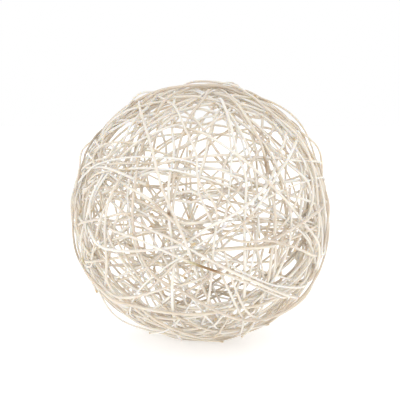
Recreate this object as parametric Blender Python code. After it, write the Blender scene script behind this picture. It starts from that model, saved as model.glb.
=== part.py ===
"""Decorative ball of bleached rattan canes, wound at random into a hollow, see-through sphere.

Each cane is one length of peeled rattan that goes once round the ball and a little past its own
start. The canes cross at every angle, over some of the others and under the rest, so the wall of
the ball is a few canes thick, and here and there a loop stands proud of it. Two canes run side by
side under the ball as its feet, and are pressed flat there, so the ball stands without rolling.

The ball's centre is the origin while the canes are wound. At the end everything is moved so that
the origin is under the middle of the ball, on the surface that it stands on, with +Z up.
"""

import math

import bmesh
import bpy
import numpy as np
from mathutils import Matrix

# Sizes, in metres
BALL_DIAMETER = 0.300
WALL_THICKNESS = 0.0165
PROUD_RISE = 0.0035
LUMP_DEPTH = 0.0032
LUMP_COUNT = 20
LUMP_SHARPNESS = 8
CANE_DIAMETER = 0.0030
CANE_GAP = 0.0003
FOOT_SPACING = 0.042
FOOT_TURN = math.radians(78.0)
FOOT_FLAT_DEPTH = 0.0004
FOOT_LEAD = 0.0012

# How a cane is wound
CANE_COUNT = 48
TURN_SEGMENTS = 24
EXTRA_SEGMENTS = 1
SIDE_STEP = 0.009
MOST_SHIFT = math.radians(34.0)
MOST_WOBBLE = math.radians(2.6)
SCATTER = math.radians(9.0)
END_SCATTER = math.radians(45.0)
MOST_TURNED = math.radians(72.0)
RETURN_SHARE = 0.65
FRONT_REACH = math.radians(45.0)
FRONT_FADE = math.radians(75.0)
PROUD_EVERY = 4
PROUD_LOOPS = 2
PROUD_SHARPNESS = 16
SEED = 23

# How the canes settle against each other
SMOOTH_ROUNDS = 300
MOST_ROUNDS = 1500
PAIR_ROUNDS = 50
SMOOTH_SHARE = 0.25
SPARE_GAP = 0.0001
CONTACT_REACH = 0.010

# The ball as it is seen in use: a little from above
FACE_TILT = math.radians(8.0)

# Bleached rattan
CANE_COLOUR = (0.80, 0.70, 0.56, 1.0)
CANE_ROUGHNESS = 0.62

# A cane with four sides whose corners stand this far out has a round cane's width on average
CORNER_SHARE = 1.1
CORNER_RADIUS = CANE_DIAMETER / 2 * CORNER_SHARE
CANE_SPACING = 2 * CORNER_RADIUS + CANE_GAP
OUTER_LINE = BALL_DIAMETER / 2 - CORNER_RADIUS
INNER_LINE = BALL_DIAMETER / 2 - WALL_THICKNESS + CORNER_RADIUS
MIDDLE_LINE = (OUTER_LINE + INNER_LINE) / 2
SEGMENT_ANGLE = 2 * math.pi / TURN_SEGMENTS
FOOT_ANGLE = math.asin(FOOT_SPACING / 2 / OUTER_LINE)
FOOT_LINE_HEIGHT = -OUTER_LINE * math.cos(SEGMENT_ANGLE / 2) * math.cos(FOOT_ANGLE)
FLOOR_HEIGHT = FOOT_LINE_HEIGHT - CORNER_RADIUS * math.sqrt(0.5) + FOOT_FLAT_DEPTH

# The canes that stand out most on the front of the ball, each by three places that it passes, to
# the right of the ball's middle and above it, on a ball with a radius of 150
FACE_RADIUS = 150
FRONT_CANES = {
    "front_upright": ((-36, 133), (-31, 0), (-33, -104)),
    "front_crown": ((31, 144), (-8, 108), (-28, 53)),
    "front_top_right": ((20, 140), (75, 122), (123, 81)),
    "front_middle_right": ((32, 93), (43, 22), (48, -51)),
    "front_right": ((55, 88), (73, 23), (73, -53)),
    "front_high": ((4, 59), (63, 60), (134, 60)),
    "front_upper_left": ((-65, 95), (-47, 47), (-31, 2)),
    "front_far_left": ((-70, 62), (-95, 16), (-103, -25)),
    "front_low": ((-119, -56), (-52, -50), (-1, -46)),
    "front_lowest": ((-116, -76), (-54, -100), (66, -103)),
    "front_right_slant": ((34, -16), (70, -28), (130, -47)),
    "front_lower_right": ((127, -8), (79, -25), (44, -50)),
    "front_level": ((-96, -3), (-25, -3), (58, -9)),
    "front_falling": ((90, 49), (65, 15), (39, -16)),
    "front_right_edge": ((77, 25), (104, -5), (124, -36)),
    "front_centre": ((-16, -20), (4, -2), (31, 26)),
    "front_top_centre": ((-14, 87), (-3, 56), (4, 12)),
    "front_knot": ((17, -26), (23, -57), (45, -92)),
    "front_knot_right": ((28, -61), (64, -79), (86, -92)),
    "front_knot_left": ((-16, -47), (18, -60), (38, -70)),
    "front_star_left": ((21, -59), (-11, -74), (-53, -84)),
    "front_left_cross": ((-84, -29), (-31, -28), (4, -12)),
}


def clear_scene():
    for thing in list(bpy.data.objects):
        bpy.data.objects.remove(thing)


def unit(vector):
    return vector / np.linalg.norm(vector)


def axes_round(normal):
    """Two directions at right angles to the normal and to each other."""
    guide = [0.0, 0.0, 1.0] if abs(normal[2]) < 0.9 else [1.0, 0.0, 0.0]
    across = unit(np.cross(normal, guide))
    return across, np.cross(normal, across)


def on_face(to_right, above):
    """The direction from the ball's centre to a place on its front, as seen a little from above."""
    right = to_right / FACE_RADIUS
    up = above / FACE_RADIUS
    towards = math.sqrt(max(0.0, 1 - right**2 - up**2))
    cos_tilt = math.cos(FACE_TILT)
    sin_tilt = math.sin(FACE_TILT)
    return unit(
        np.array(
            [
                right,
                -towards * cos_tilt + up * sin_tilt,
                up * cos_tilt + towards * sin_tilt,
            ]
        )
    )


def route(normal, shift, start, wobble=(), front=None):
    """Unit directions along one cane: a circle round the normal, shifted along it, which drifts
    sideways by one side step a turn and wanders a little from side to side. Where front is given,
    the whole shift is at that angle, and most of it is gone on the far side of the ball."""
    across, along = axes_round(normal)
    steps = np.arange(TURN_SEGMENTS + EXTRA_SEGMENTS + 1)
    turn = start + steps * SEGMENT_ANGLE
    drift = SIDE_STEP / OUTER_LINE * (steps / TURN_SEGMENTS - 0.5)
    sway = sum(
        size * np.sin(waves * turn + phase) for waves, (size, phase) in enumerate(wobble, start=2)
    )
    kept = 1 if front is None else 1 - RETURN_SHARE * np.sin((turn - front) / 2) ** 2
    lift = shift * kept + drift + sway
    ring = np.sqrt(1 - lift**2)[:, None]
    circle = np.cos(turn)[:, None] * across + np.sin(turn)[:, None] * along
    return ring * circle + lift[:, None] * normal


def foot_route(side):
    """A circle that passes beside the lowest point, with one piece of it level there."""
    beside = math.cos(FOOT_ANGLE)
    normal = side * np.array(
        [
            beside * math.cos(FOOT_TURN),
            beside * math.sin(FOOT_TURN),
            side * math.sin(FOOT_ANGLE),
        ]
    )
    across, along = axes_round(normal)
    bottom = math.atan2(-along[2], -across[2])
    return route(normal, 0.0, bottom - (TURN_SEGMENTS // 2 + 0.5) * SEGMENT_ANGLE)


def front_route(places, random):
    """The circle through three places on the front. Its ends are behind the ball."""
    first, middle, last = (on_face(*place) for place in places)
    normal = unit(np.cross(middle - first, last - middle))
    across, along = axes_round(normal)
    front = math.atan2(middle @ along, middle @ across)
    start = front + math.pi + random.uniform(-END_SCATTER, END_SCATTER)
    return route(normal, float(normal @ middle), start, front=front)


def scattered_routes(count, random):
    """Circles whose normals spread by the golden angle round the way that the ball's front faces,
    each then moved a little. The front canes fill the middle of the front and back, so these leave
    out normals that are square to that way."""
    golden = math.pi * (3 - math.sqrt(5))
    routes = []
    for number in range(count):
        facing = 1 - (1 - math.cos(MOST_TURNED)) * (number + 0.5) / count
        square = math.sqrt(1 - facing**2)
        normal = np.array(
            [square * math.cos(golden * number), facing, square * math.sin(golden * number)]
        )
        normal = unit(normal + random.normal(0, SCATTER, 3))
        shift = math.sin(random.uniform(-1, 1) * MOST_SHIFT)
        wobble = [
            (random.uniform(0, MOST_WOBBLE), random.uniform(0, 2 * math.pi)) for _ in range(3)
        ]
        routes.append(route(normal, shift, random.uniform(0, 2 * math.pi), wobble))
    return routes


def wavy_radii(count, depth, random):
    """Radii along a cane that weaves in and out of the wall. Depth runs from -1, inside, to 1."""
    turn = np.arange(count) * SEGMENT_ANGLE
    waves = sum(
        random.uniform(0.2, 1) * np.sin(number * turn + random.uniform(0, 2 * math.pi))
        for number in (2, 3, 4, 5)
    )
    share = np.clip(0.6 * depth + 0.28 * waves, -1, 1)
    return MIDDLE_LINE + (OUTER_LINE - INNER_LINE) / 2 * share


def proud_radii(count, random):
    """Radii along a cane on the outside of the wall, with short loops that stand proud of it."""
    turn = np.arange(count) * SEGMENT_ANGLE
    swell = sum(
        np.maximum(0, np.cos(turn - random.uniform(0, 2 * math.pi))) ** PROUD_SHARPNESS
        for _ in range(PROUD_LOOPS)
    )
    return OUTER_LINE + PROUD_RISE * np.minimum(swell, 1)


def front_radii(directions, middle, random):
    """Radii along a front cane: on the outside of the wall near the middle of its front part, and
    in and out of the wall further round."""
    count = len(directions)
    nearness = directions @ on_face(*middle)
    fading = math.cos(FRONT_REACH) - math.cos(FRONT_FADE)
    shown = np.clip((nearness - math.cos(FRONT_FADE)) / fading, 0, 1)
    depth = random.uniform(-1, 1)
    outside = proud_radii(count, random)
    return shown * outside + (1 - shown) * wavy_radii(count, depth, random)


def hollows(directions):
    """How far the outside of the wall lies under its outer line: nothing on the top of a lump, and
    nearly the whole depth between lumps."""
    random = np.random.default_rng(SEED)
    tops = random.normal(0, 1, (LUMP_COUNT, 3))
    tops = tops / np.linalg.norm(tops, axis=1)[:, None]
    nearest = np.clip((directions @ tops.T).max(1), 0, 1)
    return LUMP_DEPTH * (1 - nearest**LUMP_SHARPNESS)


def closest(starts, lines, other_starts, other_lines):
    """Where pairs of straight pieces come nearest: the share along each, and the way between."""
    apart = starts - other_starts
    line_sq = (lines * lines).sum(-1)
    other_sq = (other_lines * other_lines).sum(-1)
    both = (lines * other_lines).sum(-1)
    line_apart = (lines * apart).sum(-1)
    other_apart = (other_lines * apart).sum(-1)
    area = np.maximum(line_sq * other_sq - both * both, 1e-18)
    share = np.clip((both * other_apart - line_apart * other_sq) / area, 0, 1)
    other_share = np.clip((both * share + other_apart) / other_sq, 0, 1)
    share = np.clip((both * other_share - line_apart) / line_sq, 0, 1)
    way = apart + share[:, None] * lines - other_share[:, None] * other_lines
    return share, other_share, way


class Winding:
    """The centrelines of all the canes, which are pushed apart until no two are too near."""

    def __init__(self):
        self.names = []
        self.routes = []
        self.radii = []
        self.held = []

    def add(self, name, directions, radii, held=()):
        """Adds a cane. The points numbered in held stay where they are."""
        self.names.append(name)
        self.routes.append(directions)
        self.radii.append(radii)
        self.held.append(np.isin(np.arange(len(directions)), held))

    def join(self):
        """Puts the canes' points into whole arrays."""
        directions = np.vstack(self.routes)
        radii = np.concatenate(self.radii)
        self.rest = directions * MIDDLE_LINE
        self.points = directions * radii[:, None]
        self.most = np.maximum(radii - OUTER_LINE, 0) + OUTER_LINE - hollows(directions)
        self.free = np.where(np.concatenate(self.held), 0.0, 1.0)
        cane = np.repeat(np.arange(len(self.routes)), [len(item) for item in self.routes])
        number = np.arange(len(cane))
        is_last = np.append(cane[1:] != cane[:-1], True)
        is_first = np.insert(is_last[:-1], 0, True)
        self.before = np.where(is_first, number + 1, number - 1)
        self.after = np.where(is_last, number - 1, number + 1)
        self.start = number[~is_last]
        self.cane = cane

    def find_pairs(self):
        """Lists the pieces that are near enough to touch soon."""
        middle = (self.points[self.start] + self.points[self.start + 1]) / 2
        length = np.linalg.norm(self.points[self.start + 1] - self.points[self.start], axis=1)
        apart = np.linalg.norm(middle[:, None] - middle[None], axis=2)
        one, other = np.nonzero(np.triu(apart < length.max() + CONTACT_REACH, 1))
        one = self.start[one]
        other = self.start[other]
        may_touch = (self.cane[one] != self.cane[other]) | (np.abs(one - other) > 3)
        one = one[may_touch]
        other = other[may_touch]
        way = self.between(one, other)[2]
        near = np.linalg.norm(way, axis=1) < CONTACT_REACH
        self.one = one[near]
        self.other = other[near]

    def between(self, one, other):
        points = self.points
        return closest(
            points[one],
            points[one + 1] - points[one],
            points[other],
            points[other + 1] - points[other],
        )

    def smooth(self, share):
        """Evens out each cane's departure from its own route."""
        moved = self.points - self.rest
        middle = (moved[self.before] + moved[self.after]) / 2
        self.points = self.points + share * self.free[:, None] * (middle - moved)

    def push_apart(self):
        """Moves every two pieces that are too near apart. Returns the least distance found."""
        share, other_share, way = self.between(self.one, self.other)
        distance = np.linalg.norm(way, axis=1)
        near = distance < CANE_SPACING + SPARE_GAP
        if not near.any():
            return distance.min()
        one = self.one[near]
        other = self.other[near]
        ends = np.concatenate([one, one + 1, other, other + 1])
        shares = [1 - share[near], share[near], 1 - other_share[near], other_share[near]]
        pull = np.concatenate(shares) * self.free[ends]
        along = way[near] / np.maximum(distance[near], 1e-9)[:, None]
        stiffness = sum(part * part_pull for part, part_pull in zip(shares, np.split(pull, 4)))
        size = (CANE_SPACING + SPARE_GAP - distance[near]) / np.maximum(stiffness, 0.05)
        step = np.vstack([along * size[:, None]] * 2 + [-along * size[:, None]] * 2)
        step = step * pull[:, None]
        count = len(self.points)
        often = np.bincount(ends, weights=pull > 0.05, minlength=count)
        total = [np.bincount(ends, weights=step[:, axis], minlength=count) for axis in range(3)]
        self.points = self.points + np.stack(total, 1) / np.sqrt(np.maximum(often, 1))[:, None]
        return distance.min()

    def keep_in_wall(self):
        """Brings points back into the wall, and those of loose canes above the feet."""
        radius = np.linalg.norm(self.points, axis=1)
        wanted = np.clip(radius, INNER_LINE, self.most)
        wanted = np.where(self.free > 0, wanted, radius)
        self.points = self.points * (wanted / radius)[:, None]
        lowest = np.where(self.free > 0, FOOT_LINE_HEIGHT + FOOT_LEAD, FOOT_LINE_HEIGHT)
        self.points[:, 2] = np.maximum(self.points[:, 2], lowest)

    def settle(self):
        """Lets the canes settle, then returns the centreline of each by name."""
        self.join()
        for number in range(MOST_ROUNDS):
            if number % PAIR_ROUNDS == 0:
                self.find_pairs()
            fading = 1 - number / SMOOTH_ROUNDS
            if fading > 0:
                self.smooth(SMOOTH_SHARE * fading)
            self.push_apart()
            least = self.push_apart()
            self.keep_in_wall()
            if fading <= 0 and least > CANE_SPACING:
                break
        self.find_pairs()
        least = np.linalg.norm(self.between(self.one, self.other)[2], axis=1).min()
        if least < CANE_SPACING - CANE_GAP / 2:
            raise RuntimeError("the canes don't fit in the wall: it is too thin, or they are too many")
        return {name: self.points[self.cane == number] for number, name in enumerate(self.names)}


def wound_canes():
    random = np.random.default_rng(SEED)
    winding = Winding()
    count = TURN_SEGMENTS + EXTRA_SEGMENTS + 1
    level_piece = (TURN_SEGMENTS // 2, TURN_SEGMENTS // 2 + 1)
    for side, name in ((-1, "foot_front"), (1, "foot_back")):
        winding.add(name, foot_route(side), np.full(count, OUTER_LINE), level_piece)
    for name, places in FRONT_CANES.items():
        directions = front_route(places, random)
        winding.add(name, directions, front_radii(directions, places[1], random))
    loose = CANE_COUNT - 2 - len(FRONT_CANES)
    depths = random.permutation(np.linspace(-1, 1, loose))
    for number, directions in enumerate(scattered_routes(loose, random)):
        if number % PROUD_EVERY == 0:
            radii = proud_radii(count, random)
        else:
            radii = wavy_radii(count, depths[number], random)
        winding.add(f"cane_{number + 1:02d}", directions, radii)
    return winding.settle()


def standing(canes):
    """The centrelines moved so that the ball stands over the origin, on the surface at height 0."""
    everything = np.vstack(list(canes.values()))
    middle = (everything.min(0) + everything.max(0)) / 2
    move = -np.array([middle[0], middle[1], FLOOR_HEIGHT])
    return {name: points + move for name, points in canes.items()}


def rattan():
    material = bpy.data.materials.new("bleached rattan")
    material.use_nodes = True
    shader = material.node_tree.nodes["Principled BSDF"]
    shader.inputs["Base Color"].default_value = CANE_COLOUR
    shader.inputs["Roughness"].default_value = CANE_ROUGHNESS
    shader.inputs["Metallic"].default_value = 0.0
    return material


def cane_curve(name, points, collection):
    """One cane: a curve through its centreline, with a four-sided section and closed ends."""
    curve = bpy.data.curves.new(name, "CURVE")
    curve.dimensions = "3D"
    curve.bevel_depth = CORNER_RADIUS
    curve.bevel_resolution = 0
    curve.use_fill_caps = True
    spline = curve.splines.new("POLY")
    spline.points.add(len(points) - 1)
    for point, place in zip(spline.points, points):
        point.co = (*place, 1.0)
    curve.materials.append(rattan())
    cane = bpy.data.objects.new(name, curve)
    collection.objects.link(cane)
    return cane


def floor_slab(collection):
    """A slab just under the surface that the ball stands on."""
    shape = bmesh.new()
    bmesh.ops.create_cube(shape, size=BALL_DIAMETER)
    mesh = bpy.data.meshes.new("floor")
    shape.to_mesh(mesh)
    shape.free()
    mesh.transform(Matrix.Translation((0, 0, -BALL_DIAMETER / 2)))
    slab = bpy.data.objects.new("floor", mesh)
    slab.hide_render = True
    slab.display_type = "WIRE"
    collection.objects.link(slab)
    return slab


def press_flat(cane, slab, collection):
    """Cuts off what a foot has below the floor, which leaves a narrow flat face to stand on."""
    bpy.context.view_layer.update()
    graph = bpy.context.evaluated_depsgraph_get()
    mesh = bpy.data.meshes.new_from_object(cane.evaluated_get(graph))
    shape = bmesh.new()
    shape.from_mesh(mesh)
    bmesh.ops.remove_doubles(shape, verts=shape.verts, dist=1e-6)
    shape.to_mesh(mesh)
    shape.free()
    name = cane.name
    bpy.data.objects.remove(cane)
    foot = bpy.data.objects.new(name, mesh)
    collection.objects.link(foot)
    cut = foot.modifiers.new("floor", "BOOLEAN")
    cut.operation = "DIFFERENCE"
    cut.solver = "EXACT"
    cut.object = slab


def main():
    clear_scene()
    ball = bpy.data.collections.new("rattan_ball")
    cutters = bpy.data.collections.new("cutters")
    for collection in (ball, cutters):
        bpy.context.scene.collection.children.link(collection)
    slab = floor_slab(cutters)
    for name, points in standing(wound_canes()).items():
        cane = cane_curve(name, points, ball)
        if name.startswith("foot"):
            press_flat(cane, slab, ball)


main()
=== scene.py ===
"""Looks of a decorative ball wound at random from bleached, peeled rattan canes.

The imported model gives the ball's main canes as four-sided bars. Here each of them becomes a round
cane with its own thickness, grain and colour, and the finer canes that fill the wall between them
are wound in. All canes then settle against each other, as they do when the ball is wound.
"""

import enum
import logging
import math
from dataclasses import dataclass, field

import bpy
import numpy as np
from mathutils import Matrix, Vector


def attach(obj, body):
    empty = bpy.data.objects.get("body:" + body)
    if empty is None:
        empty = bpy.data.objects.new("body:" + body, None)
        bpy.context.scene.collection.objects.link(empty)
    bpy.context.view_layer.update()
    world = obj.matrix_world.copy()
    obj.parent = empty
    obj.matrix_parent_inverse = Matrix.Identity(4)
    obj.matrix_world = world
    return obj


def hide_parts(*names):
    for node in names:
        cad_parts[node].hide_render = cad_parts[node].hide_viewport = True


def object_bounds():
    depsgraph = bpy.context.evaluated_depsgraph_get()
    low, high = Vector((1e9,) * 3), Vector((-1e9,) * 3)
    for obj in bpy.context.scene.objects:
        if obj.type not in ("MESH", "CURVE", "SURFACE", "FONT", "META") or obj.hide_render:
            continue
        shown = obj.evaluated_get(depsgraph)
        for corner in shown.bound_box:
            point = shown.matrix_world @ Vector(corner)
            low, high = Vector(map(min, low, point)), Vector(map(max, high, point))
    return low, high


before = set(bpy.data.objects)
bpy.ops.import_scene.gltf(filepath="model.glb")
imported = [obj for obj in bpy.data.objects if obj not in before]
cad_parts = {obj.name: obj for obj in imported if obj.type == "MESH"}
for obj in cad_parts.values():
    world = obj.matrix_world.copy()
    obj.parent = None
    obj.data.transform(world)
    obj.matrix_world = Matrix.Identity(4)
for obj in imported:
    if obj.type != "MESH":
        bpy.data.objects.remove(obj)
CAD_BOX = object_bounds()

log = logging.getLogger("rattan_ball")

MM = 0.001
PHOTO_SIDE = 400
CAMERA_TILT = 8.0
# Places on the front are given in millimetres on a ball of this radius
FRONT_RADIUS = 150.0
# The middle of the sphere that the canes are wound on, in the frame of the part
BALL_MIDDLE = (-0.0006, 0.0008, 0.14637)


def linear(hex_colour: str) -> tuple[float, float, float, float]:
    """Turns an sRGB hex colour into linear light.

    Args:
        hex_colour: Six hex digits, such as "e8dcc6".

    Returns:
        Red, green, blue and an alpha of 1.
    """
    shares = [int(hex_colour[at : at + 2], 16) / 255 for at in (0, 2, 4)]
    light = [s / 12.92 if s <= 0.04045 else ((s + 0.055) / 1.055) ** 2.4 for s in shares]
    return (light[0], light[1], light[2], 1.0)


def add_node(
    tree: bpy.types.NodeTree,
    kind: str,
    settings: dict[str, object] | None = None,
    inputs: dict[object, object] | None = None,
) -> bpy.types.Node:
    """Adds one shader node with its settings and links.

    Args:
        tree: The node tree to add to.
        kind: The node's type name.
        settings: Values of the node's own properties.
        inputs: For each input, by name or number, a value or the socket that feeds it.

    Returns:
        The new node.
    """
    node = tree.nodes.new(kind)
    for name, value in (settings or {}).items():
        setattr(node, name, value)
    for name, value in (inputs or {}).items():
        if isinstance(value, bpy.types.NodeSocket):
            tree.links.new(value, node.inputs[name])
        else:
            node.inputs[name].default_value = value
    return node


class Tone(enum.Enum):
    """How strongly a cane took the bleach, as (pale colour, darker colour) in sRGB hex."""

    IVORY = ("f2eee8", "e2dad0")
    CREAM = ("ede7df", "dad0c5")
    STRAW = ("e8e0d5", "d1c6b8")
    SAND = ("e0d7cc", "c4b9ab")
    DRIFT = ("d7cfc5", "b2a89a")


@dataclass(frozen=True)
class Stain:
    """A kind of stain on the cane.

    Attributes:
        attribute: The mesh attribute that says where one is placed.
        colour: Its sRGB hex colour.
        low: The level of noise at which one shows by chance.
        high: The level at which that one shows in full.
        strength: How much of the cane's own colour that one covers.
    """

    attribute: str
    colour: str
    low: float
    high: float
    strength: float


STAINS = (
    Stain("green", "a9a364", 0.64, 0.74, 0.55),
    Stain("brown", "8a6a42", 0.66, 0.78, 0.70),
)


@dataclass(frozen=True)
class PeeledRattan:
    """Peeled rattan core, bleached: matt, with fibres that run along the cane.

    The bleach leaves it cream to ivory, with straw-coloured stretches where it took less, and
    here and there a brown or greenish stain.

    Attributes:
        tone: How it took the bleach.
        end_grain: The sRGB hex colour of a cut end.
        ior: Index of refraction of wood's own substance.
        roughness: Roughness of a surface between matt and half matt.
        roughness_change: By how much a fibre may be smoother or rougher.
        fibre_width: Width of a fibre, as drawn.
        fibre_length: Its length.
        fibre_share: How much a fibre counts in the colour, next to a patch.
        patch_length: Length of a stretch of one colour.
        darker: Levels of noise at which the darker colour starts and is full.
        stain_length: Length of a stain that shows by chance.
        stain_offset: How far apart in the noise each kind of stain reads.
        fibre_relief: Depth of the relief of the fibres.
        relief_strength: How much of that relief shows.
        see_through: The share of the light that goes into the cane before it comes back.
        light_depth: How deep it goes.
        light_colour: How deep red, green and blue go, as shares of that.
    """

    tone: Tone
    end_grain: str = "cdb999"
    ior: float = 1.53
    roughness: float = 0.62
    roughness_change: tuple[float, float] = (-0.08, 0.12)
    # A fibre is about 0.1 mm wide: it is drawn 0.35 mm wide, so that it shows
    fibre_width: float = 0.35 * MM
    fibre_length: float = 24 * MM
    fibre_share: float = 0.5
    patch_length: float = 60 * MM
    darker: tuple[float, float] = (0.55, 1.0)
    stain_length: float = 38 * MM
    stain_offset: float = 3.7
    fibre_relief: float = 0.05 * MM
    relief_strength: float = 0.6
    see_through: float = 1.0
    light_depth: float = 3.5 * MM
    light_colour: tuple[float, float, float] = (1.0, 0.85, 0.65)

    def material(self) -> bpy.types.Material:
        """Builds the node material.

        Returns:
            The material, named for the finish and its tone.
        """
        made = bpy.data.materials.new(f"peeled_rattan_{self.tone.name.lower()}")
        made.use_nodes = True
        tree = made.node_tree
        shader = tree.nodes["Principled BSDF"]
        pale, dark = self.tone.value
        grain = add_node(tree, "ShaderNodeAttribute", {"attribute_name": "grain"})
        # Coordinates squeezed along the cane, so that a round noise is drawn out into fibres
        along = add_node(
            tree,
            "ShaderNodeMapping",
            inputs={
                "Vector": grain.outputs["Vector"],
                "Scale": (1.0, 1.0, self.fibre_width / self.fibre_length),
            },
        )
        fibres = add_node(
            tree,
            "ShaderNodeTexNoise",
            inputs={
                "Vector": along.outputs["Vector"],
                "Scale": 1 / self.fibre_width,
                "Detail": 2.0,
                "Roughness": 0.6,
            },
        )
        patches = add_node(
            tree,
            "ShaderNodeTexNoise",
            inputs={
                "Vector": grain.outputs["Vector"],
                "Scale": 1 / self.patch_length,
                "Detail": 3.0,
                "Roughness": 0.55,
            },
        )
        blend = add_node(
            tree,
            "ShaderNodeMath",
            {"operation": "MULTIPLY_ADD"},
            {0: fibres.outputs["Fac"], 1: self.fibre_share, 2: patches.outputs["Fac"]},
        )
        share = add_node(
            tree,
            "ShaderNodeMapRange",
            {"interpolation_type": "SMOOTHSTEP"},
            {
                "Value": blend.outputs["Value"],
                "From Min": self.darker[0],
                "From Max": self.darker[1],
            },
        )
        # A Mix node's colours are its inputs 6 and 7: the ones before them are numbers
        body = add_node(
            tree,
            "ShaderNodeMix",
            {"data_type": "RGBA"},
            {0: share.outputs["Result"], 6: linear(pale), 7: linear(dark)},
        )
        coloured = body.outputs[2]
        for number, stain in enumerate(STAINS, start=1):
            # Each kind reads the noise at another place, so that they don't coincide
            moved = add_node(
                tree,
                "ShaderNodeVectorMath",
                {"operation": "ADD"},
                {0: grain.outputs["Vector"], 1: (0.0, 0.0, self.stain_offset * number)},
            )
            spots = add_node(
                tree,
                "ShaderNodeTexNoise",
                inputs={
                    "Vector": moved.outputs["Vector"],
                    "Scale": 1 / self.stain_length,
                    "Detail": 4.0,
                    "Roughness": 0.7,
                },
            )
            cover = add_node(
                tree,
                "ShaderNodeMapRange",
                {"interpolation_type": "SMOOTHSTEP"},
                {
                    "Value": spots.outputs["Fac"],
                    "From Min": stain.low,
                    "From Max": stain.high,
                    "To Max": stain.strength,
                },
            )
            placed = add_node(
                tree, "ShaderNodeAttribute", {"attribute_name": stain.attribute}
            )
            either = add_node(
                tree,
                "ShaderNodeMath",
                {"operation": "MAXIMUM"},
                {0: cover.outputs["Result"], 1: placed.outputs["Fac"]},
            )
            stained = add_node(
                tree,
                "ShaderNodeMix",
                {"data_type": "RGBA"},
                {0: either.outputs["Value"], 6: coloured, 7: linear(stain.colour)},
            )
            coloured = stained.outputs[2]
        cut = add_node(tree, "ShaderNodeAttribute", {"attribute_name": "cut"})
        ended = add_node(
            tree,
            "ShaderNodeMix",
            {"data_type": "RGBA"},
            {0: cut.outputs["Fac"], 6: coloured, 7: linear(self.end_grain)},
        )
        tree.links.new(ended.outputs[2], shader.inputs["Base Color"])
        rough = add_node(
            tree,
            "ShaderNodeMapRange",
            inputs={
                "Value": fibres.outputs["Fac"],
                "To Min": self.roughness + self.roughness_change[0],
                "To Max": self.roughness + self.roughness_change[1],
            },
        )
        tree.links.new(rough.outputs["Result"], shader.inputs["Roughness"])
        relief = add_node(
            tree,
            "ShaderNodeBump",
            inputs={
                "Height": fibres.outputs["Fac"],
                "Distance": self.fibre_relief,
                "Strength": self.relief_strength,
            },
        )
        tree.links.new(relief.outputs["Normal"], shader.inputs["Normal"])
        # Thin cane lets some light through, so the side away from the light isn't dark
        shader.inputs["Subsurface Weight"].default_value = self.see_through
        shader.inputs["Subsurface Radius"].default_value = self.light_colour
        shader.inputs["Subsurface Scale"].default_value = self.light_depth
        shader.inputs["IOR"].default_value = self.ior
        shader.inputs["Metallic"].default_value = 0.0
        return made


def unit(vectors: np.ndarray) -> np.ndarray:
    """Vectors along the last axis, each made one long."""
    return vectors / np.linalg.norm(vectors, axis=-1, keepdims=True)


@dataclass
class BarReader:
    """Reads the centreline of a cane from its four-sided solid.

    Attributes:
        widest: An edge shorter than this lies in one section of the bar, and a longer one
            runs along it.
    """

    widest: float = 5 * MM

    def centreline(self, node: bpy.types.Object) -> np.ndarray:
        """The centres of the bar's sections, in order along it.

        Corners joined by short edges make one section. Sections joined by long edges are
        neighbours, so a walk from a section with one neighbour visits them in order.

        Args:
            node: The cane's solid.

        Returns:
            One point for each section.
        """
        mesh = node.data
        mesh.calc_loop_triangles()
        points = np.empty(len(mesh.vertices) * 3)
        mesh.vertices.foreach_get("co", points)
        faces = np.empty(len(mesh.loop_triangles) * 3, np.int32)
        mesh.loop_triangles.foreach_get("vertices", faces)
        corners, index = np.unique(
            np.round(points.reshape(-1, 3), 6), axis=0, return_inverse=True
        )
        faces = index.reshape(-1)[faces].reshape(-1, 3)
        edges = np.vstack([faces[:, [0, 1]], faces[:, [1, 2]], faces[:, [2, 0]]])
        length = np.linalg.norm(corners[edges[:, 0]] - corners[edges[:, 1]], axis=1)
        short = edges[length < self.widest]
        section = np.arange(len(corners))
        while True:
            lower = section.copy()
            np.minimum.at(lower, short[:, 0], section[short[:, 1]])
            np.minimum.at(lower, short[:, 1], section[short[:, 0]])
            if (lower == section).all():
                break
            section = lower
        found, member = np.unique(section, return_inverse=True)
        member = member.reshape(-1)
        centres = np.stack(
            [np.bincount(member, weights=corners[:, axis]) for axis in range(3)], 1
        )
        centres /= np.bincount(member)[:, None]
        joined = np.zeros((len(found), len(found)), bool)
        long = member[edges[length >= self.widest]]
        joined[long[:, 0], long[:, 1]] = True
        joined[long[:, 1], long[:, 0]] = True
        order = [int(joined.sum(1).argmin())]
        left = np.ones(len(found), bool)
        while True:
            left[order[-1]] = False
            onward = np.flatnonzero(joined[order[-1]] & left)
            if not len(onward):
                return centres[order]
            order.append(int(onward[0]))


@dataclass
class Cane:
    """One cane: a path through the wall of the ball, and how it looks.

    Attributes:
        name: The piece's name.
        path: Points along the centreline.
        radius: Half the cane's thickness.
        tone: How it took the bleach.
        node: The solid that it stands for, or an empty string.
        stains: For each stain, its attribute, the number of the path's point under its middle,
            half its length and its strength.
    """

    name: str
    path: np.ndarray
    radius: float
    tone: Tone
    node: str = ""
    stains: list[tuple[str, int, float, float]] = field(default_factory=list)


def on_front(right: float, above: float) -> np.ndarray:
    """The direction from the ball's middle to a place on the half of it that the camera sees.

    With r and u the place as shares of the radius, the way towards the camera is the root of
    1 - r^2 - u^2, and no less than its value on the outline. The result is then tilted by the
    angle at which the camera looks down.

    Args:
        right: Millimetres to the right of the ball's middle, on a ball of FRONT_RADIUS.
        above: Millimetres above it.

    Returns:
        A unit vector.
    """
    on_outline = 0.15
    tilt = math.radians(CAMERA_TILT)
    r, u = right / FRONT_RADIUS, above / FRONT_RADIUS
    towards = math.sqrt(max(on_outline**2, 1 - r**2 - u**2))
    return unit(
        np.array(
            [
                r,
                u * math.sin(tilt) - towards * math.cos(tilt),
                u * math.cos(tilt) + towards * math.sin(tilt),
            ]
        )
    )


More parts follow.
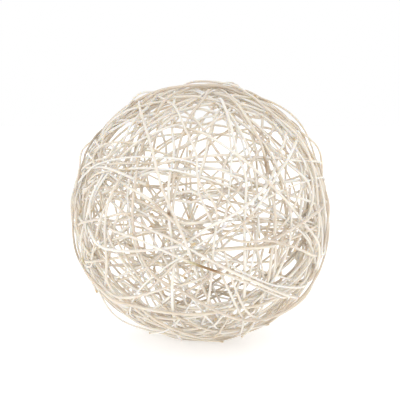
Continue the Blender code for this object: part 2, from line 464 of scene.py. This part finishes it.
def arc(
    place: np.ndarray, heading: np.ndarray, radius: float, lengths: np.ndarray
) -> tuple[np.ndarray, np.ndarray]:
    """Follows a circle over the unit sphere.

    The circle's axis is c = P cos(radius) + (P x H) sin(radius), for a place P and a heading H.
    The point at length s is P turned about c by s / sin(radius), and so is the heading there.

    Args:
        place: Where it starts.
        heading: The way that it sets off.
        radius: The circle's radius as an angle. A negative one turns to the right.
        lengths: How far along the circle each point is, as angles.

    Returns:
        The points, and the heading at each.
    """
    axis = math.cos(radius) * place + math.sin(radius) * np.cross(place, heading)
    turn = (lengths / math.sin(radius))[:, None]

    def turned(vector: np.ndarray) -> np.ndarray:
        """The vector turned about the axis by each of the angles."""
        level = axis * (axis @ vector)
        return level + np.cos(turn) * (vector - level) + np.sin(turn) * np.cross(axis, vector)

    return turned(place), turned(heading)


def smooth_path(points: np.ndarray, steps: int) -> np.ndarray:
    """A curve through the points: on each stretch, the cubic whose slope at a point is half the
    way from the point before to the point after.

    Args:
        points: Points that the curve passes.
        steps: Pieces on each stretch.

    Returns:
        Points along the curve.
    """
    before = 2 * points[0] - points[1]
    after = 2 * points[-1] - points[-2]
    padded = np.vstack([before, points, after])
    share = (np.arange(steps) / steps)[None, :, None]
    p0, p1, p2, p3 = (padded[at : at + len(points) - 1, None] for at in range(4))
    curve = 0.5 * (
        2 * p1
        + (p2 - p0) * share
        + (2 * p0 - 5 * p1 + 4 * p2 - p3) * share**2
        + (3 * p1 - p0 - 3 * p2 + p3) * share**3
    )
    return np.vstack([curve.reshape(-1, 3), points[-1]])


@dataclass
class Wall:
    """The wall of the ball: where its canes may lie.

    Attributes:
        centre: The ball's middle.
        inner: The least distance of a centreline from the middle.
        outer: The greatest one of a fine cane.
        foot_height: Height of the line of a foot that is pressed flat.
    """

    centre: np.ndarray
    inner: float = 135.2 * MM
    outer: float = 146.6 * MM
    foot_height: float = 0.77 * MM

    def middle(self) -> float:
        """The distance of the wall's middle from the ball's middle."""
        return (self.inner + self.outer) / 2


@dataclass
class FineCanes:
    """The finer canes that fill the wall between the main ones.

    Attributes:
        wall: Where they lie.
        random: The source of all that is left to chance.
        count: How many there are.
        together: How many of them run side by side, as when the same length goes round again.
        beside: How far apart those lie.
        points: Points on one turn.
        turn_share: How much of a turn each makes.
        drift: How far a cane moves sideways in a turn.
        shift: The most that a circle lies off the ball's middle.
        sway: The most that a cane wanders to each side.
        sway_waves: How many of each of the waves to the sides there are in a turn.
        weave_waves: How many of each of the waves in and out of the wall there are in a turn.
        weave_share: Height of those waves, as a share of half the wall's depth.
        weave_place: How deep in the wall a cane lies, from -1 on the inside to 1 on the outside.
        radius: The least and greatest radius of a cane.
        first_angle: Where the golden angle starts.
        scatter: How far a circle's facing departs from its even place.
        tones: How likely each tone is.
    """

    wall: Wall
    random: np.random.Generator
    count: int = 24
    together: int = 2
    beside: float = 4.5 * MM
    points: int = 144
    turn_share: tuple[float, float] = (0.8, 1.15)
    drift: float = 12 * MM
    shift: float = 75 * MM
    sway: float = 5 * MM
    sway_waves: tuple[int, ...] = (2, 3, 5)
    weave_waves: tuple[int, ...] = (2, 3, 5, 8)
    weave_share: float = 0.35
    weave_place: tuple[float, float] = (-0.6, 0.8)
    radius: tuple[float, float] = (1.0 * MM, 1.25 * MM)
    first_angle: float = 1.1
    scatter: float = 0.2
    tones: tuple[float, ...] = (0.2, 0.35, 0.27, 0.14, 0.04)

    def build(self) -> list[Cane]:
        """Winds the fine canes, with their circles facing every way by the golden angle.

        Returns:
            The canes, not yet settled.
        """
        golden = math.pi * (3 - math.sqrt(5))
        canes = []
        for number in range(self.count):
            group, within = divmod(number, self.together)
            if within == 0:
                rise = (group + 0.5) * self.together / self.count
                level = math.sqrt(1 - rise**2)
                angle = golden * group + self.first_angle
                normal = np.array([level * math.cos(angle), level * math.sin(angle), rise])
                normal = unit(normal + self.random.normal(0, self.scatter, 3))
                shift = self.random.uniform(-1, 1) * self.shift
            canes.append(
                Cane(
                    f"fine_cane_{number + 1:02d}",
                    self.path(normal, shift + within * self.beside),
                    self.random.uniform(*self.radius),
                    self.random.choice(list(Tone), p=self.tones),
                )
            )
        return canes

    def path(self, normal: np.ndarray, shift: float) -> np.ndarray:
        """A circle round the normal, shifted along it, which drifts and sways sideways and
        weaves in and out of the wall on slow sine waves.

        Args:
            normal: The way that the circle faces.
            shift: How far it lies off the ball's middle.

        Returns:
            Points along the cane.
        """
        random = self.random
        reach = self.wall.middle()
        guide = np.array([0.0, 0.0, 1.0]) if abs(normal[2]) < 0.9 else np.array([1.0, 0.0, 0.0])
        across = unit(np.cross(normal, guide))
        along = np.cross(normal, across)
        share = random.uniform(*self.turn_share)
        steps = np.arange(int(self.points * share) + 1) / self.points
        turn = 2 * math.pi * (steps + random.uniform(0, 1))
        lift = shift + self.drift * (steps - share / 2)
        for waves in self.sway_waves:
            size = random.uniform(0.2, 1) * self.sway * 2 / waves
            lift = lift + size * np.sin(waves * turn + random.uniform(0, 2 * math.pi))
        lift = lift / reach
        weave = sum(
            random.uniform(0.3, 1) * np.sin(waves * turn + random.uniform(0, 2 * math.pi))
            for waves in self.weave_waves
        )
        depth = (self.wall.outer - self.wall.inner) / 2
        place = random.uniform(*self.weave_place) + self.weave_share * weave
        radii = reach + depth * np.clip(place, -1, 1)
        ring = np.sqrt(1 - lift**2)[:, None]
        circle = np.cos(turn)[:, None] * across + np.sin(turn)[:, None] * along
        return self.wall.centre + radii[:, None] * (ring * circle + lift[:, None] * normal)


class Feature(enum.Enum):
    """What a cane does at a place: arch away from the wall, turn back sharply, or end there."""

    ARCH = "arched"
    TURN = "turned_back"
    END = "loose_ended"


@dataclass
class PlacedCanes:
    """Canes wound from places that stand out: arches and loose ends on the outline of the ball,
    and sharp turns on its front.

    Attributes:
        wall: Where they lie.
        random: The source of all that is left to chance.
        places: For each, what it does, millimetres to the right of the ball's middle and above
            it, a direction in degrees from rightwards, anticlockwise, and the length of an arch
            or the radius of a turn. The direction is the way that the cane goes from there, and
            at a turn it is the way that the bend points.
        step: Distance between two points.
        turn_step: Distance between two points in a turn.
        proud: How far an arch stands out of the wall.
        end_share: The share of that by which a loose end stands out.
        turn_share: The share of it by which a turn does.
        end_length: Length in which the cane goes from a loose end back into the wall.
        turn_length: Half the length over which a turn stands out.
        outside: Length from its place for which a cane stays on the outside of the wall.
        weave_length: Length of a wave in and out of the wall, divided by 2 pi.
        weave_share: Height of that wave, as a share of half the wall's depth.
        half: The length on each side of an arch or turn. From an end it is half as much again.
        wide: The least and greatest radius of the wide arcs, as angles.
        radius: The least and greatest radius of a cane.
        tones: How likely each tone is.
    """

    wall: Wall
    random: np.random.Generator
    places: tuple[tuple[Feature, float, float, float, float], ...] = (
        (Feature.ARCH, -71.0, 137.0, 25.0, 14 * MM),
        (Feature.ARCH, -133.0, 69.0, 62.0, 14 * MM),
        (Feature.ARCH, -152.0, 8.0, 92.0, 18 * MM),
        (Feature.ARCH, 130.0, 73.0, 120.0, 18 * MM),
        (Feature.ARCH, 106.0, 107.0, 135.0, 48 * MM),
        (Feature.ARCH, 36.0, 148.0, 160.0, 11 * MM),
        (Feature.ARCH, 118.0, -95.0, 48.0, 30 * MM),
        (Feature.ARCH, -95.0, -117.0, 140.0, 30 * MM),
        (Feature.TURN, 139.0, -46.0, -25.0, 9 * MM),
        (Feature.TURN, 34.0, 124.0, 205.0, 9 * MM),
        (Feature.TURN, -94.0, 66.0, -20.0, 8 * MM),
        (Feature.TURN, -116.0, 62.0, 160.0, 12 * MM),
        (Feature.TURN, -128.0, -58.0, 215.0, 12 * MM),
        (Feature.END, -59.0, -139.0, 60.0, 0.0),
        (Feature.END, 25.0, -148.0, 120.0, 0.0),
        (Feature.END, 47.0, -142.0, 100.0, 0.0),
        (Feature.END, 78.0, -128.0, 145.0, 0.0),
        (Feature.END, -120.0, -92.0, 80.0, 0.0),
    )
    step: float = 6.4 * MM
    turn_step: float = 2.0 * MM
    proud: float = 6.5 * MM
    end_share: float = 0.4
    turn_share: float = 0.3
    end_length: float = 14.0 * MM
    turn_length: float = 10.0 * MM
    outside: float = 70.0 * MM
    weave_length: float = 38.0 * MM
    weave_share: float = 0.5
    half: float = 330.0 * MM
    wide: tuple[float, float] = (1.08, 1.54)
    radius: tuple[float, float] = (1.05 * MM, 1.3 * MM)
    tones: tuple[float, ...] = (0.45, 0.3, 0.15, 0.1, 0.0)

    def build(self) -> list[Cane]:
        """Winds each of the canes from its place.

        Returns:
            The canes, not yet settled.
        """
        canes = []
        for number, (feature, right, above, degrees, size) in enumerate(self.places, start=1):
            place = on_front(right, above)
            angle = math.radians(degrees)
            guide = on_front(FRONT_RADIUS * math.cos(angle), FRONT_RADIUS * math.sin(angle))
            direction = unit(guide - (guide @ place) * place)
            canes.append(
                Cane(
                    f"{feature.value}_cane_{number:02d}",
                    self.path(feature, place, direction, size),
                    self.random.uniform(*self.radius),
                    self.random.choice(list(Tone), p=self.tones),
                )
            )
        return canes

    def path(
        self, feature: Feature, place: np.ndarray, direction: np.ndarray, size: float
    ) -> np.ndarray:
        """One cane: wide arcs from its place, with a tight one on each side of a turn. Its
        distance from the ball's middle is the wall's, plus a bell curve of the length.

        Args:
            feature: What it does there.
            place: The direction of the place from the ball's middle.
            direction: The way that it goes from there, or that its bend points.
            size: The length of its arch, or the radius of its turn.

        Returns:
            Points along the cane.
        """
        reach = self.wall.middle()
        if feature is Feature.END:
            length, points = self.side(place, direction, 0.0, 1.5 * self.half)
            rise = self.end_share * self.proud * np.exp(-length / self.end_length)
        else:
            bent = size if feature is Feature.TURN else 0.0
            heading = np.cross(place, direction) if bent else direction
            ahead, onward = self.side(place, heading, bent, self.half)
            behind, back = self.side(place, -heading, -bent, self.half)
            length = np.concatenate([-behind[:0:-1], ahead])
            points = np.vstack([back[:0:-1], onward])
            width = self.turn_length if bent else size
            top = self.turn_share * self.proud if bent else self.proud
            rise = top * np.exp(-((length / width) ** 2))
        depth = (self.wall.outer - self.wall.inner) / 2
        phase = self.random.uniform(0, 2 * math.pi)
        wave = self.weave_share * np.sin(length / self.weave_length + phase)
        fade = np.exp(-((length / self.outside) ** 2))
        radii = reach + depth * (fade + (1 - fade) * wave) + rise
        return self.wall.centre + radii[:, None] * points

    def side(
        self, place: np.ndarray, heading: np.ndarray, bent: float, far: float
    ) -> tuple[np.ndarray, np.ndarray]:
        """The cane on one side of its place: a quarter of a tight circle, then a wide arc.

        Args:
            place: Where it starts, as a direction.
            heading: The way that it sets off.
            bent: The tight circle's radius, negative to turn right, or 0 for none.
            far: The length of the wide arc.

        Returns:
            How far along each point is, and its direction from the ball's middle.
        """
        reach = self.wall.middle()
        wide = self.random.choice((-1, 1)) * self.random.uniform(*self.wide)
        found = [np.zeros(1)], [place[None]]
        gone = 0.0
        if bent:
            quarter = 0.5 * math.pi * abs(bent)
            length = np.arange(self.turn_step, quarter, self.turn_step)
            points, headings = arc(place, heading, bent / reach, length / reach)
            found[0].append(length)
            found[1].append(points)
            place, heading, gone = points[-1], headings[-1], length[-1]
        length = np.arange(self.step, far, self.step)
        points, _ = arc(place, heading, wide, length / reach)
        found[0].append(gone + length)
        found[1].append(points)
        return np.concatenate(found[0]), np.vstack(found[1])


@dataclass
class Settling:
    """Lets the canes settle: no two pass through each other, and each stays a smooth curve.

    Attributes:
        canes: All the canes.
        wall: Where they may lie.
        rounds: How often they are smoothed and pushed apart.
        refresh: Rounds between two searches for canes that may touch.
        reach: Canes further apart than this can't touch before the next search.
        press: How far two crossing canes press into each other.
        hold: The share of its way home that a main cane goes back each round.
        stiffness: The share by which a point moves to the middle of its neighbours each round.
        apart_along: Pieces of one cane that are fewer points apart than this may be close.
        box_room: How much more than its radius a cane's line stays from the sides of the box.
        foot_slack: A point this near the height of a pressed foot is part of the foot's flat.
        least_firmness: How firmly a pair counts as held, at least, when it is pushed apart.
        least_pull: A push smaller than this share isn't counted among those on a point.
    """

    canes: list[Cane]
    wall: Wall
    rounds: int = 240
    refresh: int = 40
    reach: float = 5 * MM
    press: float = 0.12 * MM
    hold: float = 0.03
    stiffness: float = 0.45
    apart_along: int = 8
    box_room: float = 1.08
    foot_slack: float = 0.01 * MM
    least_firmness: float = 0.05
    least_pull: float = 0.05

    def run(self) -> None:
        """Settles the canes, and gives each its new path."""
        counts = [len(cane.path) for cane in self.canes]
        points = np.vstack([cane.path for cane in self.canes])
        home = points.copy()
        owner = np.repeat(np.arange(len(counts)), counts)
        radius = np.repeat([cane.radius for cane in self.canes], counts)
        held = np.repeat([self.hold if cane.node else 0.0 for cane in self.canes], counts)
        foot = np.abs(points[:, 2] - self.wall.foot_height) < self.foot_slack
        free = np.where(foot, 0.0, 1.0)
        number = np.arange(len(points))
        is_last = np.append(owner[1:] != owner[:-1], True)
        is_first = np.insert(is_last[:-1], 0, True)
        before = np.where(is_first, number, number - 1)
        after = np.where(is_last, number, number + 1)
        inside = ~(is_first | is_last)
        start = number[~is_last]
        # Only a cane that starts outside the wall, as an arch does, may stay outside it
        most = np.maximum(np.linalg.norm(points - self.wall.centre, axis=1), self.wall.outer)
        low, high = (np.array(corner) for corner in CAD_BOX)
        for turn in range(self.rounds):
            if turn % self.refresh == 0:
                one, other = self.pairs(points, start, owner)
            moved = points - home
            middle = (moved[before] + moved[after]) / 2
            fading = min(1.0, 2 * (1 - turn / self.rounds))
            ease = (self.stiffness * fading * free * inside)[:, None]
            points = points + ease * (middle - moved) - (held * free)[:, None] * moved
            points = self.push_apart(points, one, other, radius, free)
            away = points - self.wall.centre
            distance = np.linalg.norm(away, axis=1)
            wanted = np.maximum(distance, self.wall.inner)
            wanted = np.where(held > 0, wanted, np.minimum(wanted, most))
            kept = self.wall.centre + away * (wanted / distance)[:, None]
            points = np.where((free > 0)[:, None], kept, points)
            edge = np.where(free > 0, radius * self.box_room, 0.0)[:, None]
            boxed = np.clip(points, low + edge, high - edge)
            points = np.where((free > 0)[:, None], boxed, points)
        ends = np.cumsum(counts)
        for cane, end, count in zip(self.canes, ends, counts):
            cane.path = points[end - count : end]

    def pairs(
        self, points: np.ndarray, start: np.ndarray, owner: np.ndarray
    ) -> tuple[np.ndarray, np.ndarray]:
        """Finds the straight pieces that may touch soon.

        Args:
            points: All points.
            start: The number of each piece's first point.
            owner: The cane that each point belongs to.

        Returns:
            The first points of the two pieces of each pair.
        """
        middle = ((points[start] + points[start + 1]) / 2 - self.wall.centre).astype(np.float32)
        length = np.linalg.norm(points[start + 1] - points[start], axis=1).max()
        square = (middle * middle).sum(1)
        apart = square[:, None] + square[None] - 2 * middle @ middle.T
        one, other = np.nonzero(np.triu(apart < (length + self.reach) ** 2, 1))
        one, other = start[one], start[other]
        different = (owner[one] != owner[other]) | (np.abs(one - other) > self.apart_along)
        return one[different], other[different]

    def push_apart(
        self,
        points: np.ndarray,
        one: np.ndarray,
        other: np.ndarray,
        radius: np.ndarray,
        free: np.ndarray,
    ) -> np.ndarray:
        """Moves pieces that are in each other apart, along the shortest way between them.

        Args:
            points: All points.
            one: First points of the pairs' first pieces.
            other: First points of their second pieces.
            radius: Half the cane's thickness at each point.
            free: 1 for a point that may move and 0 for one that may not.

        Returns:
            The points after the move.
        """
        line = points[one + 1] - points[one]
        cross_line = points[other + 1] - points[other]
        apart = points[one] - points[other]
        line_sq = (line * line).sum(1)
        cross_sq = (cross_line * cross_line).sum(1)
        both = (line * cross_line).sum(1)
        line_apart = (line * apart).sum(1)
        cross_apart = (cross_line * apart).sum(1)
        # The least values here and below keep lines that are parallel or meet from a division by 0
        area = np.maximum(line_sq * cross_sq - both * both, 1e-18)
        share = np.clip((both * cross_apart - line_apart * cross_sq) / area, 0, 1)
        cross_share = np.clip((both * share + cross_apart) / cross_sq, 0, 1)
        share = np.clip((both * cross_share - line_apart) / line_sq, 0, 1)
        way = apart + share[:, None] * line - cross_share[:, None] * cross_line
        distance = np.linalg.norm(way, axis=1)
        wanted = radius[one] + radius[other] - self.press
        near = distance < wanted
        shares = [1 - share[near], share[near], 1 - cross_share[near], cross_share[near]]
        ends = np.concatenate([one[near], one[near] + 1, other[near], other[near] + 1])
        pull = np.concatenate(shares) * free[ends]
        firmness = sum(a * b for a, b in zip(shares, np.split(pull, 4)))
        size = (wanted - distance)[near] / np.maximum(firmness, self.least_firmness)
        along = way[near] / np.maximum(distance[near], 1e-9)[:, None] * size[:, None]
        step = np.vstack([along, along, -along, -along]) * pull[:, None]
        count = len(points)
        often = np.bincount(ends, weights=pull > self.least_pull, minlength=count)
        total = np.stack([np.bincount(ends, step[:, axis], count) for axis in range(3)], 1)
        return points + total / np.sqrt(np.maximum(often, 1))[:, None]


@dataclass
class CaneSkin:
    """Carries a cane's round section along its path.

    Attributes:
        wall: The wall that the cane lies in.
        random: The source of all that is left to chance.
        sides: Points round the section.
        oval: How far the section is from round, as a share of its radius.
        swell: How much the thickness changes along the cane.
        rib: Depth of the shallow ribs that peeling leaves, as a share of the radius.
        ribs: How many there are round the cane.
        twist: Length in which the ribs turn once round the cane.
        swell_waves: For each wave of the swelling, its share and its length divided by 2 pi.
        grain_offset: Length between the grain of one cane and of the next.
        cut_length: Length over which the colour of a cut end fades.
        cut_slant: How far a cut leans, as shares of the radius.
        cut_turn: The most that a cut is turned round the cane.
    """

    wall: Wall
    random: np.random.Generator
    sides: int = 12
    oval: float = 0.05
    swell: float = 0.06
    rib: float = 0.02
    ribs: int = 5
    twist: float = 0.45
    swell_waves: tuple[tuple[float, float], ...] = ((0.6, 0.071), (0.4, 0.023))
    grain_offset: float = 1.7
    cut_length: float = 0.7 * MM
    cut_slant: tuple[float, float] = (0.2, 0.9)
    cut_turn: float = 6.28

    def build(self, cane: Cane, number: int) -> bpy.types.Object:
        """Builds the cane's mesh.

        The point at angle a round section s lies at path(s) + r(s, a) (N cos a + B sin a). N
        points out of the ball, B is across, and r is the radius with its oval, swell and ribs.

        Args:
            cane: The cane.
            number: Its number, which sets its grain apart from the others'.

        Returns:
            The cane's object.
        """
        path = cane.path
        count = len(path)
        tangent = unit(np.gradient(path, axis=0))
        outward = path - self.wall.centre
        normal = unit(outward - (outward * tangent).sum(1)[:, None] * tangent)
        across = np.cross(tangent, normal)
        steps = np.linalg.norm(np.diff(path, axis=0), axis=1)
        length = np.concatenate([[0.0], np.cumsum(steps)])
        angle = 2 * math.pi * np.arange(self.sides) / self.sides
        phase = self.random.uniform(0, 2 * math.pi, 4)
        turned = angle[None] + (2 * math.pi * length / self.twist)[:, None]
        slow = sum(
            share * np.sin(length / wave + start)
            for (share, wave), start in zip(self.swell_waves, phase)
        )
        radius = cane.radius * (
            1
            + self.swell * slow[:, None]
            + self.oval * np.cos(2 * turned + phase[2])
            + self.rib * np.cos(self.ribs * turned + phase[3])
        )
        around = (
            np.cos(angle)[None, :, None] * normal[:, None]
            + np.sin(angle)[None, :, None] * across[:, None]
        )
        points = path[:, None] + radius[..., None] * around
        for end, inward in ((0, 1), (-1, -1)):
            size = self.random.uniform(*self.cut_slant) * cane.radius
            slant = size * np.cos(angle + self.random.uniform(0, self.cut_turn))
            points[end] += inward * slant[:, None] * tangent[end]
        caps = np.stack([points[0].mean(0), points[-1].mean(0)])
        vertices = np.vstack([points.reshape(-1, 3), caps])
        low, high = (np.array(corner) for corner in CAD_BOX)
        vertices = np.clip(vertices, low, high)
        row = np.arange(count - 1)[:, None] * self.sides
        side = np.arange(self.sides)[None]
        beside = (side + 1) % self.sides
        quads = np.stack(
            [row + side, row + beside, row + self.sides + beside, row + self.sides + side], -1
        ).reshape(-1, 4)
        first = count * self.sides
        side = side.ravel()
        beside = beside.ravel()
        start_cap = np.stack([np.full(self.sides, first), beside, side], 1)
        last_row = (count - 1) * self.sides
        end_cap = np.stack(
            [np.full(self.sides, first + 1), last_row + side, last_row + beside], 1
        )
        faces = [*quads.tolist(), *start_cap.tolist(), *end_cap.tolist()]
        mesh = bpy.data.meshes.new(cane.name)
        mesh.from_pydata(vertices.tolist(), [], faces)
        mesh.validate()
        smooth = np.ones(len(mesh.polygons), bool)
        smooth[len(quads) :] = False
        mesh.polygons.foreach_set("use_smooth", smooth)
        offset = self.grain_offset * number
        grain = np.stack(
            [
                cane.radius * np.cos(turned),
                cane.radius * np.sin(turned),
                np.broadcast_to(length[:, None] + offset, turned.shape),
            ],
            -1,
        ).reshape(-1, 3)
        grain = np.vstack([grain, [[0, 0, offset]], [[0, 0, length[-1] + offset]]])
        held = mesh.attributes.new("grain", "FLOAT_VECTOR", "POINT")
        held.data.foreach_set("vector", grain.astype(np.float32).ravel())
        from_end = np.minimum(length, length[-1] - length)
        cut = np.repeat(np.exp(-from_end / self.cut_length), self.sides)
        cut = np.concatenate([cut, [1.0, 1.0]])
        values = {"cut": cut}
        for stain in STAINS:
            cover = np.zeros(count)
            for kind, at, half, strength in cane.stains:
                if kind == stain.attribute:
                    fading = np.exp(-(((length - length[at]) / half) ** 4))
                    cover = np.maximum(cover, strength * fading)
            cover = np.concatenate([np.repeat(cover, self.sides), [0.0, 0.0]])
            values[stain.attribute] = cover
        for name, value in values.items():
            held = mesh.attributes.new(name, "FLOAT", "POINT")
            held.data.foreach_set("value", value.astype(np.float32))
        mesh.update()
        made = bpy.data.objects.new(cane.name, mesh)
        bpy.context.scene.collection.objects.link(made)
        return made


@dataclass
class RattanBall:
    """The whole ball: main canes read from their solids, and the others between them.

    Attributes:
        wall: Where the canes lie.
        seed: Start of the random numbers.
        steps: Pieces on each stretch between two sections of a solid.
        radius: The least and greatest radius of a main cane.
        stains: For each stain, and for the one dark brown dot, that shows on the front, its colour,
            its
        cane, its place in millimetres to the right of the ball's middle and above it, half its
        length and its strength. With no cane named, it is on the one nearest the camera there.
        stain_reach: How far from its place a stain may be, as it is seen.
        front_tones: How likely each tone is for a cane that stands out on the front.
        wall_tones: How likely each tone is for any other main cane.
        flat_share: A foot's line below this times its pressed height is in the flat.
        finishes: The material of each tone.
    """

    wall: Wall
    seed: int = 5
    steps: int = 6
    radius: tuple[float, float] = (1.22 * MM, 1.52 * MM)
    stains: tuple[tuple[str, str, float, float, float, float], ...] = (
        ("brown", "round_front_knot_left", 8.0, -56.0, 14.0 * MM, 0.95),
        ("green", "round_front_knot_left", -4.0, -51.0, 9.0 * MM, 0.6),
        ("brown", "", 38.0, -71.0, 6.0 * MM, 0.6),
        ("brown", "round_front_right", 66.0, 47.0, 9.0 * MM, 0.75),
        ("brown", "", 118.0, 38.0, 7.0 * MM, 0.6),
        ("brown", "", -46.0, 7.0, 6.0 * MM, 0.45),
        # This entry only makes a dark brown dot, about 3 mm long, on the cane nearest the camera
        # there
        ("brown", "", -33.0, 0.0, 1.5 * MM, 0.9),
        ("green", "", 56.0, 27.0, 7.0 * MM, 0.6),
        ("green", "", -75.0, 121.0, 8.0 * MM, 0.5),
        ("green", "", 57.0, 130.0, 6.0 * MM, 0.5),
        ("green", "", -131.0, -52.0, 5.0 * MM, 0.5),
    )
    stain_reach: float = 2.5 * MM
    front_tones: tuple[float, ...] = (0.3, 0.4, 0.2, 0.1, 0.0)
    wall_tones: tuple[float, ...] = (0.2, 0.35, 0.27, 0.14, 0.04)
    flat_share: float = 2.5
    finishes: dict[Tone, bpy.types.Material] = field(default_factory=dict)

    def main_canes(self, random: np.random.Generator) -> list[Cane]:
        """Reads the main canes from their solids.

        Args:
            random: The source of each cane's thickness and tone.

        Returns:
            The canes, not yet settled.
        """
        reader = BarReader()
        canes = []
        for name in sorted(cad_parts):
            centres = reader.centreline(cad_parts[name])
            is_foot = name.startswith("foot")
            if is_foot:
                flat = centres[:, 2] < self.flat_share * self.wall.foot_height
                centres[flat, 2] = self.wall.foot_height
            path = smooth_path(centres, self.steps)
            if is_foot:
                path[:, 2] = np.maximum(path[:, 2], self.wall.foot_height)
            likely = self.front_tones if name.startswith("front") else self.wall_tones
            canes.append(
                Cane(
                    f"round_{name}",
                    path,
                    random.uniform(*self.radius),
                    random.choice(list(Tone), p=likely),
                    name,
                )
            )
        return canes

    def build(self) -> None:
        """Builds, settles and dresses every cane."""
        random = np.random.default_rng(self.seed)
        canes = self.main_canes(random)
        canes += FineCanes(self.wall, random).build()
        canes += PlacedCanes(self.wall, random).build()
        Settling(canes, self.wall).run()
        self.stain(canes)
        skin = CaneSkin(self.wall, random)
        for tone in Tone:
            self.finishes[tone] = PeeledRattan(tone).material()
        for number, cane in enumerate(canes):
            made = skin.build(cane, number)
            made.data.materials.append(self.finishes[cane.tone])
            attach(made, "root")
            if cane.node:
                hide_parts(cane.node)
            log.info("%s: %d faces, %s", made.name, len(made.data.polygons), cane.tone.name)

    def stain(self, canes: list[Cane]) -> None:
        """Gives each stain to its cane, at the point that is nearest to its place as it is seen.

        Args:
            canes: All the canes, settled.
        """
        points = np.vstack([cane.path for cane in canes])
        first = np.cumsum([0] + [len(cane.path) for cane in canes])
        owner = np.repeat(np.arange(len(canes)), np.diff(first))
        towards = on_front(0.0, 0.0)
        ahead = (points - self.wall.centre) @ towards
        for colour, name, right, above, half, strength in self.stains:
            place = self.wall.centre + self.wall.outer * on_front(right, above)
            away = points - place
            aside = np.linalg.norm(away - (away @ towards)[:, None] * towards, axis=1)
            if name:
                named = np.array([cane.name == name for cane in canes])[owner]
                nearest = int(np.where(named & (ahead > 0), aside, np.inf).argmin())
            else:
                nearest = int(np.where(aside < self.stain_reach, ahead, -np.inf).argmax())
            on = int(owner[nearest])
            canes[on].stains.append((colour, nearest - int(first[on]), half, strength))


@dataclass
class Studio:
    """The floor, the lights and the camera.

    Attributes:
        target: The middle of the ball.
        distance: From the camera to the middle of the ball.
        elevation: How far the camera looks down, in degrees.
        lamps: For each soft light, its name, its place, its side and its power in watts.
        pixels: The photograph's focal length in its own pixels.
        middle_pixel: Where the middle of the ball lies in the photograph.
        floor_reach: Half the floor's side.
        floor_glow: Light that the floor gives off.
    """

    target: np.ndarray
    distance: float = 1.0
    elevation: float = CAMERA_TILT
    lamps: tuple[tuple[str, tuple[float, float, float], float, float], ...] = (
        ("key_light", (-0.35, -1.25, 0.75), 0.5, 0.6),
        ("fill_light", (0.5, -0.9, 1.2), 0.8, 0.5),
    )
    pixels: float = 866.0
    middle_pixel: tuple[float, float] = (200.8, 212.8)
    floor_reach: float = 6.0
    floor_glow: float = 0.3

    def build_floor(self) -> None:
        """A plain pale floor, level with the bottom of the ball."""
        side = self.floor_reach
        mesh = bpy.data.meshes.new("floor")
        corners = [(-side, -side, 0), (side, -side, 0), (side, side, 0), (-side, side, 0)]
        mesh.from_pydata(corners, [], [(0, 1, 2, 3)])
        floor = bpy.data.objects.new("floor", mesh)
        bpy.context.scene.collection.objects.link(floor)
        paint = bpy.data.materials.new("pale_floor_paint")
        paint.use_nodes = True
        shader = paint.node_tree.nodes["Principled BSDF"]
        shader.inputs["Base Color"].default_value = linear("fdfdfd")
        shader.inputs["Roughness"].default_value = 0.9
        shader.inputs["Specular IOR Level"].default_value = 0.1
        # A light table: it glows a little, so the ball has only a faint shadow under it
        shader.inputs["Emission Color"].default_value = (1.0, 1.0, 1.0, 1.0)
        shader.inputs["Emission Strength"].default_value = self.floor_glow
        mesh.materials.append(paint)

    def add_area(
        self, name: str, place: tuple[float, float, float], size: float, power: float
    ) -> None:
        """Adds a soft square light that faces the ball.

        Args:
            name: The light's name.
            place: Where it hangs.
            size: Its side.
            power: Its power in watts.
        """
        data = bpy.data.lights.new(name, "AREA")
        data.size = size
        data.energy = power
        lamp = bpy.data.objects.new(name, data)
        lamp.location = Vector(place)
        facing = Vector(self.target) - lamp.location
        lamp.rotation_euler = facing.to_track_quat("-Z", "Y").to_euler()
        bpy.context.scene.collection.objects.link(lamp)

    def build_light(self) -> None:
        """White surroundings, and two weak soft lights in front, above the camera."""
        world = bpy.data.worlds.new("studio")
        world.use_nodes = True
        background = world.node_tree.nodes["Background"]
        background.inputs["Color"].default_value = (1.0, 1.0, 1.0, 1.0)
        background.inputs["Strength"].default_value = 1.0
        bpy.context.scene.world = world
        bpy.context.scene.view_settings.view_transform = "Standard"
        for name, place, size, power in self.lamps:
            self.add_area(name, place, size, power)

    def build_camera(self) -> None:
        """The camera, with the middle of the ball at its place in the photograph."""
        data = bpy.data.cameras.new("camera")
        data.sensor_width = 36.0
        data.lens = self.pixels / PHOTO_SIDE * data.sensor_width
        data.shift_x = (PHOTO_SIDE / 2 - self.middle_pixel[0]) / PHOTO_SIDE
        data.shift_y = (self.middle_pixel[1] - PHOTO_SIDE / 2) / PHOTO_SIDE
        camera = bpy.data.objects.new("camera", data)
        tilt = math.radians(self.elevation)
        back = Vector((0.0, -math.cos(tilt), math.sin(tilt)))
        camera.location = Vector(self.target) + self.distance * back
        camera.rotation_euler = (-back).to_track_quat("-Z", "Y").to_euler()
        bpy.context.scene.collection.objects.link(camera)
        bpy.context.scene.camera = camera


def main() -> None:
    """Builds the scene."""
    logging.basicConfig(level=logging.INFO, format="%(message)s")
    centre = np.array(BALL_MIDDLE)
    studio = Studio(centre)
    studio.build_camera()
    studio.build_light()
    studio.build_floor()
    RattanBall(Wall(centre)).build()
    bpy.context.view_layer.update()


if __name__ == "__main__":
    main()
